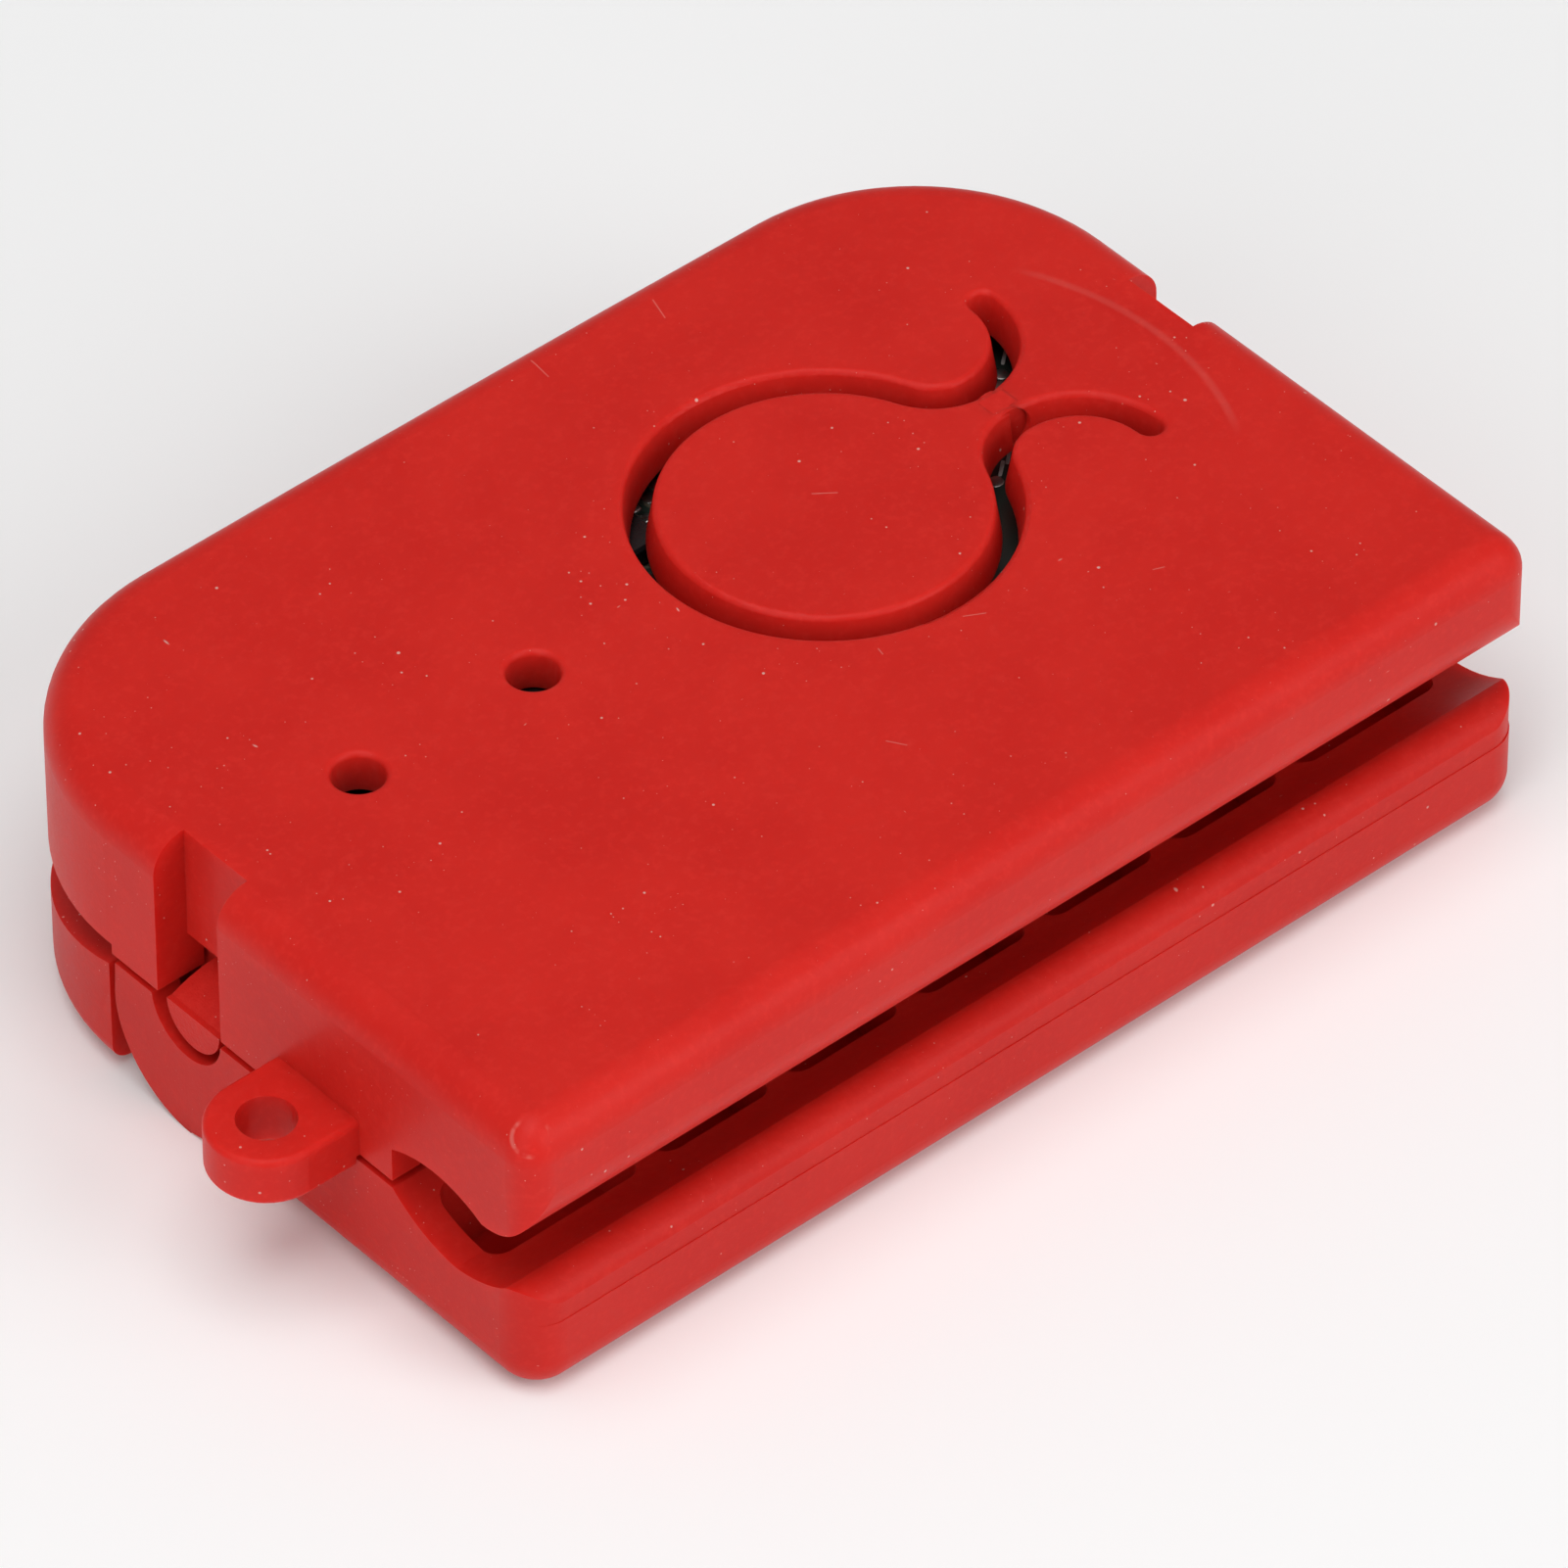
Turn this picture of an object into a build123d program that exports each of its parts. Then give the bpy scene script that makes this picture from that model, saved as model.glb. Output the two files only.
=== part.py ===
from build123d import *
import math
import os

# A pocket clip-on metronome. Two moulded arms turn on a hinge near the middle: the upper arm is a
# flat housing for the electronics, the lower arm is a jaw with a squeeze tail. Millimetres, +Z up.
# While it is drawn, X runs along the jaw's edge, y = 0 is the front face and z = 0 is the table;
# every node is then moved so that the middle of the bounding box's floor is the origin.

# ---- driving dimensions -------------------------------------------------------------------------
WIDTH = 60.0
DEPTH = 40.7
HEIGHT = 16.0
REAR_BOW = 0.25
FRONT_CORNER_R = 1.5
REAR_CORNER_R = 11.7
WALL = 1.6
TOP_T = 2.15
TOP_EDGE_R = 1.8
TOP_INSIDE = HEIGHT - TOP_T

PIVOT_Y = 23.2
PIVOT_Z = 7.1
TRUNNION_R = 1.82
BEARING_R = 1.9
CRADLE_R = 2.4
CRADLE_Y = 23.45

JAW_TOP = 6.92
LID_BOTTOM = 7.36
LID_TAIL_BOTTOM = 7.93
SPLIT_Y = 28.6
THROAT_Y = 9.25
NOSE_R = 3.2
NOSE_Z = 9.13
ARCH_Z = 9.97

CHEEK_ARC_Y = 23.4
CHEEK_ARC_R = 5.1
JAW_EDGE_R = 1.9
JAW_CORNER_R = 2.1
JAW_LIP_Z = 6.45
JAW_TAPER_Y = 17.0
JAW_HOLLOW_Y = 10.8
PARTING_Z = 4.35
PARTING_STEP = 0.04
RIB_COUNT = 6
RIB_PITCH = 7.68
RIB_T = 1.2
POCKET_END_X = 28.4
POCKET_FRONT_Y = 4.15
POCKET_REAR_Y = 8.5
POCKET_FLOOR = 1.8

TAIL_FRONT_Y = 28.85
TAIL_TOP_FRONT = 6.57
TAIL_TOP_REAR = 3.73
TAIL_BOTTOM = 0.4

NOTCH_FRONT = 21.0
NOTCH_REAR = 25.4
NOTCH_DEPTH = 1.8
NOTCH_WALL = 0.9
NOTCH_WINDOW_Z = 9.75

LUG_X = 32.9
LUG_Y = 14.3
LUG_R = 2.85
LUG_HOLE_R = 1.4
LUG_TOP = 9.36
LUG_BOTTOM = 6.76
LUG_CLEARANCE = 0.2

BUTTON_X = 7.4
BUTTON_Y = 23.0
SLOT_MID_R = 8.45
SLOT_W = 1.4
SLOT_DRAFT = 9
HOOK_R = 3.0
CURL_R = 4.2
NECK_MID_Y = 1.5
EDGE_ROUND = 0.3
KNUCKLE_R = TOP_T / 2
KNUCKLE_GAP = 0.02
PIP_R = 1.2
PIP_Z = 13.4

LED_R = 0.8
LED_X = -20.0
SOUND_X = -9.8
HOLE_Y = 23.15
TOP_HOLE_R = 1.25

TRAY_GAP = 0.15
TRAY_TOP = 8.46
TRAY_FRONT_TOP = 10.9
TRAY_STEP_Y = 10.35
HINGE_BAY_X = 22.0
HINGE_BAY_Y = (19.4, 27.4)
FLANGE_X = 20.6
FLANGE_HALF_Y = 3.0
FLANGE_Z = (5.0, 9.6)
EAR_X = (25.9, 27.0)
EAR_R = 2.95
TRUNNION_END_X = 29.8
RAMP_X = 25.9

CELL_X = 2.0
CELL_R = 10.0
CELL_Z = 8.66
CELL_T = 2.5
CELL_GAP = 0.2
CONTACT_HALF_Y = 2.0
RING_T = 1.1
RING_TOP = 10.9

BOARD_Z = 11.4
BOARD_T = 0.8
BOARD_TOP = BOARD_Z + BOARD_T
BOARD_Y = (15.2, 33.9)
BOARD_INSET = 3.3
BOARD_POSTS = [(-23.5, 18.0), (24.5, 31.6)]
TRAY_POSTS = [(-23.5, 12.7), (23.5, 12.7), (-17.0, 36.2), (17.0, 36.2)]
TAIL_SCREWS_X = (-15.0, 15.0)
TAIL_SCREW_Z = 4.0

SPRING_WIRE_R = 0.25
SPRING_COIL_R = 2.25
SPRING_TURNS = 4.25
SPRING_PITCH = 0.6
SPRING_X = 25.3
SPRING_FOOT_Z = 2.7
SPRING_TIP_Y = 17.6
SPRING_TIP_Z = TRAY_TOP + SPRING_WIRE_R + 0.02

SCREW_R = 0.7
SMALL_SCREW_R = 0.45
HEAD_R = 1.35
HEAD_SINK = 0.6
DOOR_SCREW_Y = 35.7
DOOR_BOSS_R = 1.7

SWITCH_TOP = 12.8
PLUNGER_R = 1.3
PLUNGER_TOP = 13.3
BUZZER_R = 4.4
BUZZER_TOP = 13.55
CRYSTAL_R = 0.65
SWITCH_HALF = 2.6
LEAD_HALF_Y = 0.35
SHEET_T = 0.15
CHIP_X = (-2.2, 2.6)
CHIP_Y = (28.4, 32.2)
CAPACITORS = [(-19.0, 29.6), (-19.0, 31.4), (12.4, 32.2), (15.4, 32.2)]
RESISTORS = [(-4.5, 17.0), (-1.5, 17.0), (12.0, 16.4), (15.0, 16.4), (18.0, 16.4)]

TAIL_WALL = 1.7
TAIL_EDGE_R = 1.1
TAIL_SLOPE = (TAIL_TOP_FRONT - TAIL_TOP_REAR) / (DEPTH - TAIL_FRONT_Y)
TAIL_TOP_AT_END = TAIL_TOP_REAR - TAIL_SLOPE
FLANGE_Y = (PIVOT_Y - FLANGE_HALF_Y, PIVOT_Y + FLANGE_HALF_Y)
BARREL_INNER_Y = 26.7

# The lug counts in the bounding box, so the box's middle lies left of the jaw's middle.
CENTRE_X = (WIDTH / 2 - (LUG_X + LUG_R)) / 2
TO_ORIGIN = Pos(-CENTRE_X, -DEPTH / 2, 0)


# ---- helpers ------------------------------------------------------------------------------------
def save(shape, node):
    """Move a finished node to the row's origin and write it."""
    export_step(TO_ORIGIN * shape, f"parts/{node}.step")


def span(x, y, z):
    """A box from three (low, high) pairs."""
    size = (x[1] - x[0], y[1] - y[0], z[1] - z[0])
    middle = ((x[0] + x[1]) / 2, (y[0] + y[1]) / 2, (z[0] + z[1]) / 2)
    return Pos(*middle) * Box(*size)


def post(x, y, z, r):
    """An upright cylinder from a (low, high) pair of heights."""
    return Pos(x, y, (z[0] + z[1]) / 2) * Cylinder(r, z[1] - z[0])


def bar_x(x, y, z, r):
    """A cylinder along X from a (low, high) pair."""
    return Pos((x[0] + x[1]) / 2, y, z) * Rot(0, 90, 0) * Cylinder(r, x[1] - x[0])


def bar_y(y, x, z, r):
    """A cylinder along Y from a (low, high) pair."""
    return Pos(x, (y[0] + y[1]) / 2, z) * Rot(90, 0, 0) * Cylinder(r, y[1] - y[0])


def mirror_x(shape):
    return mirror(shape, about=Plane.YZ)


def outline(inset, corner_r=FRONT_CORNER_R):
    """The housing's plan: straight sides, a slightly bowed rear edge and two large rear corners."""
    half = WIDTH / 2 - inset
    rear = DEPTH - inset
    edges = Line((-half, inset), (half, inset))
    edges += Line((half, inset), (half, rear - REAR_BOW))
    edges += ThreePointArc((half, rear - REAR_BOW), (0, rear), (-half, rear - REAR_BOW))
    edges += Line((-half, rear - REAR_BOW), (-half, inset))
    face = make_face(edges)
    face = fillet(face.vertices().group_by(Axis.Y)[0], max(corner_r - inset, 0.4))
    return fillet(face.vertices().group_by(Axis.Y)[-1], REAR_CORNER_R - inset)


def plan_prism(inset, low, high, corner_r=FRONT_CORNER_R):
    return extrude(Pos(0, 0, low) * outline(inset, corner_r), high - low)


def side_prism(edges, half_width):
    """Sweep a closed side profile, drawn as (y, z), along X."""
    return extrude(Plane.YZ * make_face(edges), half_width, both=True)


def chain(points):
    """Straight edges through the points; a repeated point adds nothing."""
    pairs = [(start, end) for start, end in zip(points, points[1:]) if start != end]
    return Curve() + [Line(start, end) for start, end in pairs]


# ---- upper arm: housing -------------------------------------------------------------------------
def lid_underside():
    """The rounded nose and the shallow arch of the upper lip, ending at the throat's back wall."""
    lean = NOSE_R * math.sqrt(0.5)
    edges = ThreePointArc(
        (0, NOSE_Z + NOSE_R), (NOSE_R - lean, NOSE_Z + NOSE_R - lean), (NOSE_R, NOSE_Z)
    )
    edges += ThreePointArc((NOSE_R, NOSE_Z), (6.7, ARCH_Z), (THROAT_Y, NOSE_Z + 0.15))
    return edges


def lid_side(tail_bottom):
    """The upper arm's side profile as a prism right across the width."""
    rest = chain([
        (THROAT_Y, NOSE_Z + 0.15), (THROAT_Y, LID_BOTTOM), (SPLIT_Y, LID_BOTTOM),
        (SPLIT_Y, tail_bottom), (DEPTH + 1, tail_bottom), (DEPTH + 1, HEIGHT),
        (0, HEIGHT), (0, NOSE_Z + NOSE_R),
    ])
    return side_prism(lid_underside() + rest, WIDTH)


def lid_envelope():
    """The upper arm's full outer form before it is hollowed."""
    body = plan_prism(0, 0, HEIGHT) & lid_side(LID_TAIL_BOTTOM)
    return fillet(body.faces().sort_by(Axis.Z)[-1].edges(), TOP_EDGE_R)


HOOK_Y = NECK_MID_Y + HOOK_R
HOOK_X = math.sqrt((SLOT_MID_R + HOOK_R) ** 2 - HOOK_Y ** 2)
HOOK_ANGLE = math.atan2(HOOK_Y, HOOK_X)
JOIN = (SLOT_MID_R * math.cos(HOOK_ANGLE), SLOT_MID_R * math.sin(HOOK_ANGLE))
KNUCKLE_X = BUTTON_X + HOOK_X
KNUCKLE_Z = HEIGHT - KNUCKLE_R


def slot_arcs():
    """The button's slot: most of a circle whose two ends hook back outwards beside the neck."""
    half_turn = (HOOK_ANGLE + math.pi / 2) / 2
    hook_mid = (HOOK_X - HOOK_R * math.cos(half_turn), HOOK_Y - HOOK_R * math.sin(half_turn))
    lean = CURL_R * math.sqrt(0.5)
    curl_mid = (HOOK_X + lean, NECK_MID_Y + CURL_R - lean)
    curl_end = (HOOK_X + CURL_R, NECK_MID_Y + CURL_R)
    arcs = [(JOIN, (-SLOT_MID_R, 0), (JOIN[0], -JOIN[1]))]
    for side in (1, -1):
        for points in ((JOIN, hook_mid, (HOOK_X, NECK_MID_Y)),
                       ((HOOK_X, NECK_MID_Y), curl_mid, curl_end)):
            arcs.append([(x, side * y) for x, y in points])
    return arcs


def cut_slot(body):
    """Cut the slot; its moulded walls lean towards each other on the way down."""
    for points in slot_arcs():
        face = Pos(BUTTON_X, BUTTON_Y, HEIGHT) * SlotArc(ThreePointArc(*points), SLOT_W)
        body = body - extrude(face, -TOP_T - 0.5, taper=SLOT_DRAFT)
    return body


def button_sketch():
    """The disc and its neck out to the middle of the slot, ending at the knuckle's axis."""
    neck = Polygon(
        (0, 0), (JOIN[0], -JOIN[1]), (HOOK_X, -NECK_MID_Y), (HOOK_X, NECK_MID_Y), JOIN, align=None
    )
    for side in (1, -1):
        neck -= Pos(HOOK_X, side * HOOK_Y) * Circle(HOOK_R)
    return Pos(BUTTON_X, BUTTON_Y) * (Circle(SLOT_MID_R) + neck)


def knuckle(r, half_length):
    return Pos(KNUCKLE_X, BUTTON_Y, KNUCKLE_Z) * Rot(90, 0, 0) * Cylinder(r, 2 * half_length)


def notch_liner():
    """The inner wall and two side walls of the left notch, before the notch itself is cut."""
    x = (-WIDTH / 2, -WIDTH / 2 + NOTCH_DEPTH + NOTCH_WALL)
    return span(x, (NOTCH_FRONT - 1, NOTCH_REAR + 1), (LID_BOTTOM, HEIGHT - 0.5))


def notch_cut():
    """The left notch, open to the top and the bottom, with a window for the trunnion below."""
    outer = -WIDTH / 2
    inner = outer + NOTCH_DEPTH
    y = (NOTCH_FRONT, NOTCH_REAR)
    recess = span((outer - 1, inner), y, (0, HEIGHT + 1))
    window = span((inner - 0.1, inner + NOTCH_WALL + 0.1), y, (0, NOTCH_WINDOW_Z))
    return recess + window


def lug():
    """The key-ring lug on the left side; it hangs a little lower than the parting gap."""
    z = (LUG_BOTTOM, LUG_TOP)
    root = span((-LUG_X, -WIDTH / 2 + 1), (LUG_Y - LUG_R, LUG_Y + LUG_R), z)
    body = post(-LUG_X, LUG_Y, z, LUG_R) + root
    flat = body.faces().sort_by(Axis.Z)
    body = fillet(flat[0].edges() + flat[-1].edges(), EDGE_ROUND)
    body -= post(-LUG_X, LUG_Y, (0, HEIGHT), LUG_HOLE_R)
    return body - span((-WIDTH / 2 - LUG_CLEARANCE, 0), (0, DEPTH), (0, LID_BOTTOM))


def make_top_shell():
    envelope = lid_envelope()
    shell = envelope - plan_prism(WALL, 0, TOP_INSIDE)
    liner = notch_liner() & envelope
    shell = shell + liner + mirror_x(liner)
    shell = shell - notch_cut() - mirror_x(notch_cut())
    through = (TOP_INSIDE - 1, HEIGHT + 1)
    inside_slot = extrude(Pos(0, 0, through[0]) * button_sketch(), through[1] - through[0])
    shell = cut_slot(shell - inside_slot)
    for x in (LED_X, SOUND_X):
        shell -= post(x, HOLE_Y, through, TOP_HOLE_R)
    top = shell.faces().filter_by(Axis.Z).sort_by(Axis.Z)[-1]
    shell = fillet([edge for wire in top.inner_wires() for edge in wire.edges()], EDGE_ROUND)
    shell -= knuckle(KNUCKLE_R + KNUCKLE_GAP, NECK_MID_Y)
    for x, y in TRAY_POSTS:
        shell += post(x, y, (TRAY_TOP, TOP_INSIDE), 2.0)
        shell -= post(x, y, (TRAY_TOP - 1, TRAY_TOP + 4.6), SCREW_R + 0.02)
    for x, y in BOARD_POSTS:
        shell += post(x, y, (BOARD_TOP, TOP_INSIDE), 1.5)
        shell -= post(x, y, (BOARD_TOP - 1, TOP_INSIDE + 0.5), SMALL_SCREW_R + 0.02)
    inside = span((-WIDTH, -WIDTH / 2 + 1), (0, DEPTH), (0, HEIGHT)) & envelope
    return shell + (lug() - inside)


def make_push_button():
    """The round flexure button, its neck and the pip that works the switch."""
    plate = cut_slot(extrude(Pos(0, 0, TOP_INSIDE) * button_sketch(), TOP_T))
    plate = plate.solids().sort_by(SortBy.VOLUME)[-1]
    rim = [e for e in plate.faces().sort_by(Axis.Z)[-1].edges() if e.center().X < KNUCKLE_X - 0.01]
    plate = fillet(rim, EDGE_ROUND)
    neck_half = NECK_MID_Y - SLOT_W / 2
    body = plate + knuckle(KNUCKLE_R, neck_half)
    return body + post(BUTTON_X, BUTTON_Y, (PIP_Z, TOP_INSIDE + 0.1), PIP_R)


# ---- upper arm: tray, hinge stubs and battery door ----------------------------------------------
def make_inner_tray():
    """The floor of the housing, with the cell's ring, the hinge bays and the closed throat wall."""
    tray = lid_side(LID_BOTTOM) & plan_prism(WALL + TRAY_GAP, 0, TRAY_FRONT_TOP)
    tray -= span((-WIDTH, WIDTH), (TRAY_STEP_Y, DEPTH), (TRAY_TOP, HEIGHT))
    wall_z = (TRAY_TOP - 0.5, RING_TOP)
    tray += post(CELL_X, PIVOT_Y, wall_z, CELL_R + CELL_GAP + RING_T)
    tray += post(CELL_X, DOOR_SCREW_Y, wall_z, DOOR_BOSS_R)
    tray -= post(CELL_X, PIVOT_Y, (0, HEIGHT), CELL_R + CELL_GAP)
    gap_y = (PIVOT_Y - CONTACT_HALF_Y - 0.2, PIVOT_Y + CONTACT_HALF_Y + 0.2)
    tray -= span((CELL_X - CELL_R - 3, CELL_X - CELL_R + 2), gap_y, (TRAY_TOP, HEIGHT))
    bay = span((HINGE_BAY_X, WIDTH), HINGE_BAY_Y, (0, HEIGHT))
    bay += span((FLANGE_X, WIDTH), FLANGE_Y, (0, HEIGHT))
    tray = tray - bay - mirror_x(bay)
    for x, y in TRAY_POSTS:
        tray -= post(x, y, (0, HEIGHT), SCREW_R + 0.1)
        tray -= post(x, y, (0, LID_BOTTOM + HEAD_SINK), HEAD_R + 0.15)
    tray -= door_tab(0.12) + door_tongue(0.08)
    return tray - post(CELL_X, DOOR_SCREW_Y, (0, RING_TOP - 0.6), SMALL_SCREW_R + 0.02)


def door_tab(grow):
    x = (CELL_X - 2.5 - grow, CELL_X + 2.5 + grow)
    return span(x, (PIVOT_Y + CELL_R - 1, DOOR_SCREW_Y + 1.8 + grow), (LID_BOTTOM, 7.86 + grow / 2))


def door_tongue(grow):
    x = (CELL_X - 3 - grow, CELL_X + 3 + grow)
    return span(x, (PIVOT_Y - CELL_R - 1.2 - grow, PIVOT_Y - CELL_R + 1), (7.95 - grow, 8.4 + grow))


def make_battery_door():
    disc = post(CELL_X, PIVOT_Y, (LID_BOTTOM, TRAY_TOP - 0.02), CELL_R + CELL_GAP - 0.15)
    door = disc + door_tab(0) + door_tongue(0)
    for offset in (-4, -2, 0, 2, 4):
        y = PIVOT_Y - 6 + offset
        door -= span((CELL_X - 4, CELL_X + 4), (y - 0.4, y + 0.4), (0, LID_BOTTOM + 0.3))
    return door - post(CELL_X, DOOR_SCREW_Y, (0, HEIGHT), SMALL_SCREW_R + 0.1)


def make_trunnion():
    """The left hinge stub: a square root in the tray and a round pin with a ramp on its end."""
    body = bar_x((-TRUNNION_END_X, -HINGE_BAY_X), PIVOT_Y, PIVOT_Z, TRUNNION_R)
    ramp = chain([
        (-TRUNNION_END_X - 1, PIVOT_Z), (-TRUNNION_END_X + 0.3, PIVOT_Z),
        (-RAMP_X, PIVOT_Z + TRUNNION_R), (-RAMP_X, PIVOT_Z + 3),
        (-TRUNNION_END_X - 1, PIVOT_Z + 3), (-TRUNNION_END_X - 1, PIVOT_Z),
    ])
    wedge = Pos(0, PIVOT_Y, 0) * extrude(Plane.XZ * make_face(ramp), 3, both=True)
    return body - wedge + span((-HINGE_BAY_X, -FLANGE_X), FLANGE_Y, FLANGE_Z)


def rod(start, end, r):
    axis = Vector(*end) - Vector(*start)
    return Part() + Solid.make_cylinder(r, axis.length, Plane(origin=start, z_dir=axis))


def make_spring():
    """The left torsion spring: one leg presses down on the tray, the other stands in the jaw."""
    path = Helix(SPRING_PITCH, SPRING_PITCH * SPRING_TURNS, SPRING_COIL_R)
    coil = sweep(Plane(origin=path @ 0, z_dir=path % 0) * Circle(SPRING_WIRE_R), path=path)
    coil = Pos(-SPRING_X, PIVOT_Y, PIVOT_Z) * Rot(90, 0, 0) * Rot(0, 90, 0) * coil
    rear = PIVOT_Y + SPRING_COIL_R
    top = PIVOT_Z + SPRING_COIL_R
    inner_x = -SPRING_X + SPRING_PITCH * SPRING_TURNS
    jaw_leg = rod((-SPRING_X, rear, PIVOT_Z), (-SPRING_X, rear, SPRING_FOOT_Z), SPRING_WIRE_R)
    lid_leg = rod((inner_x, PIVOT_Y, top), (inner_x, SPRING_TIP_Y, SPRING_TIP_Z), SPRING_WIRE_R)
    return coil + jaw_leg + lid_leg


# ---- upper arm: electronics ---------------------------------------------------------------------
def make_circuit_board():
    board = plan_prism(BOARD_INSET, BOARD_Z, BOARD_TOP)
    board &= span((-WIDTH, WIDTH), BOARD_Y, (0, HEIGHT))
    for x, y in BOARD_POSTS:
        board -= post(x, y, (0, HEIGHT), SMALL_SCREW_R + 0.1)
    return board


def make_coin_cell():
    can = post(CELL_X, PIVOT_Y, (CELL_Z + 0.35, CELL_Z + CELL_T), CELL_R)
    can = fillet(can.edges().sort_by(Axis.Z)[-1], 0.4)
    return can + post(CELL_X, PIVOT_Y, (CELL_Z, CELL_Z + 0.35), CELL_R - 1.2)


def make_negative_contact():
    """A leaf under the cell with a leg that climbs through the ring's gap to the board."""
    x = CELL_X - CELL_R - 1.9
    y = (PIVOT_Y - CONTACT_HALF_Y, PIVOT_Y + CONTACT_HALF_Y)
    leaf = span((x, CELL_X), y, (TRAY_TOP + 0.02, CELL_Z - 0.03))
    return leaf + span((x, x + SHEET_T), y, (TRAY_TOP + 0.02, BOARD_Z))


def make_positive_contact():
    """A strap between the cell's top and the board, with a slotted spring tongue."""
    z = (CELL_Z + CELL_T + 0.02, BOARD_Z - 0.05)
    strap = span((CELL_X - 6, CELL_X + 12), (PIVOT_Y - 3, PIVOT_Y + 3), z)
    for offset in (-1.6, 1.6):
        y = PIVOT_Y + offset
        strap -= span((CELL_X - 4, CELL_X + 5), (y - 0.25, y + 0.25), (0, HEIGHT))
    return strap


def switch_square(z):
    x = (BUTTON_X - SWITCH_HALF, BUTTON_X + SWITCH_HALF)
    return span(x, (BUTTON_Y - SWITCH_HALF, BUTTON_Y + SWITCH_HALF), z)


def make_switch_base():
    bore = post(BUTTON_X, BUTTON_Y, (BOARD_TOP + 0.1, HEIGHT), PLUNGER_R + 0.1)
    return switch_square((BOARD_TOP, SWITCH_TOP)) - bore


def make_switch_cover():
    """The switch's sheet-metal cover and its four leads."""
    top = SWITCH_TOP + SHEET_T
    cover = switch_square((SWITCH_TOP, top))
    cover -= post(BUTTON_X, BUTTON_Y, (0, HEIGHT), PLUNGER_R + 0.1)
    for dx in (-1, 1):
        edge = BUTTON_X + dx * SWITCH_HALF
        foot_x = sorted((edge, edge + dx * 0.9))
        side_x = sorted((edge, edge + dx * SHEET_T))
        for middle in (BUTTON_Y - 1.8, BUTTON_Y + 1.8):
            y = (middle - LEAD_HALF_Y, middle + LEAD_HALF_Y)
            cover += span(foot_x, y, (BOARD_TOP, BOARD_TOP + SHEET_T))
            cover += span(side_x, y, (BOARD_TOP, top))
    return cover


def make_switch_plunger():
    return post(BUTTON_X, BUTTON_Y, (BOARD_TOP + 0.4, PLUNGER_TOP), PLUNGER_R)


def make_beat_led():
    """A clear dome on a square base, under the left-hand hole."""
    half = 1.4
    z = BOARD_TOP + 0.5
    base = span((LED_X - half, LED_X + half), (HOLE_Y - half, HOLE_Y + half), (BOARD_TOP, z))
    return base + Pos(LED_X, HOLE_Y, z) * Sphere(LED_R, arc_size1=0)


def make_buzzer_case():
    case = post(SOUND_X, HOLE_Y, (BOARD_TOP, BUZZER_TOP), BUZZER_R)
    case = fillet(case.edges().sort_by(Axis.Z)[-1], 0.3)
    case -= post(SOUND_X, HOLE_Y, (BOARD_TOP + 0.2, BUZZER_TOP - 0.35), BUZZER_R - 0.4)
    return case - post(SOUND_X, HOLE_Y, (BOARD_TOP + 0.5, HEIGHT), 0.9)


def make_piezo_disc():
    return post(SOUND_X, HOLE_Y, (BOARD_TOP + 0.22, BOARD_TOP + 0.45), BUZZER_R - 0.5)


def make_controller_chip():
    chip = span(CHIP_X, CHIP_Y, (BOARD_TOP + 0.1, BOARD_TOP + 1.1))
    return chamfer(chip.edges().group_by(Axis.Z)[-1], 0.15)


def make_crystal_can():
    return bar_x((-14.6, -9.2), 31.2, BOARD_TOP + CRYSTAL_R, CRYSTAL_R)


def chips(places, size):
    """Equal small blocks on the board."""
    parts = [Pos(x, y, BOARD_TOP + size[2] / 2) * Box(*size) for x, y in places]
    return Part() + parts


# ---- screws -------------------------------------------------------------------------------------
def screw(head_r, head_h, shank_r, length):
    """A pan-head screw with a cross recess, its head's underside at z = 0 and its shank up."""
    head = Pos(0, 0, -head_h / 2) * Cylinder(head_r, head_h)
    head = fillet(head.edges().sort_by(Axis.Z)[0], head_h * 0.4)
    for turn in (0, 90):
        bar = Pos(0, 0, -head_h) * Rot(0, 0, turn) * Box(head_r * 1.1, head_r * 0.28, head_h * 0.9)
        head -= bar
    return head + Pos(0, 0, length / 2) * Cylinder(shank_r, length)


def make_tray_screws():
    z = LID_BOTTOM + HEAD_SINK
    return Part() + [Pos(x, y, z) * screw(HEAD_R, 0.55, SCREW_R, 4.8) for x, y in TRAY_POSTS]


def make_board_screws():
    parts = [Pos(x, y, BOARD_Z) * screw(1.0, 0.5, SMALL_SCREW_R, 2.4) for x, y in BOARD_POSTS]
    return Part() + parts


def make_door_screw():
    return Pos(CELL_X, DOOR_SCREW_Y, LID_BOTTOM) * screw(1.0, 0.4, SMALL_SCREW_R, 2.8)


def make_tail_screws():
    """The screws run rearwards from inside the jaw into the tail's bosses."""
    y = BARREL_INNER_Y - 0.02
    place = Rot(-90, 0, 0) * screw(HEAD_R, 0.8, SCREW_R, 5.4)
    return Part() + [Pos(x, y, TAIL_SCREW_Z) * place for x in TAIL_SCREWS_X]


# ---- lower arm ----------------------------------------------------------------------------------
def throat_profile():
    """The lower jaw's upper side from the throat down to the lip and over to the front face."""
    edges = ThreePointArc((THROAT_Y, JAW_TOP), (7.9, 5.98), (5.0, 5.15))
    edges += ThreePointArc((5.0, 5.15), (3.3, 5.5), (1.7, JAW_LIP_Z - 0.15))
    edges += ThreePointArc((1.7, JAW_LIP_Z - 0.15), (0.5, JAW_LIP_Z - 0.35), (0, JAW_LIP_Z - 1.2))
    return edges


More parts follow.
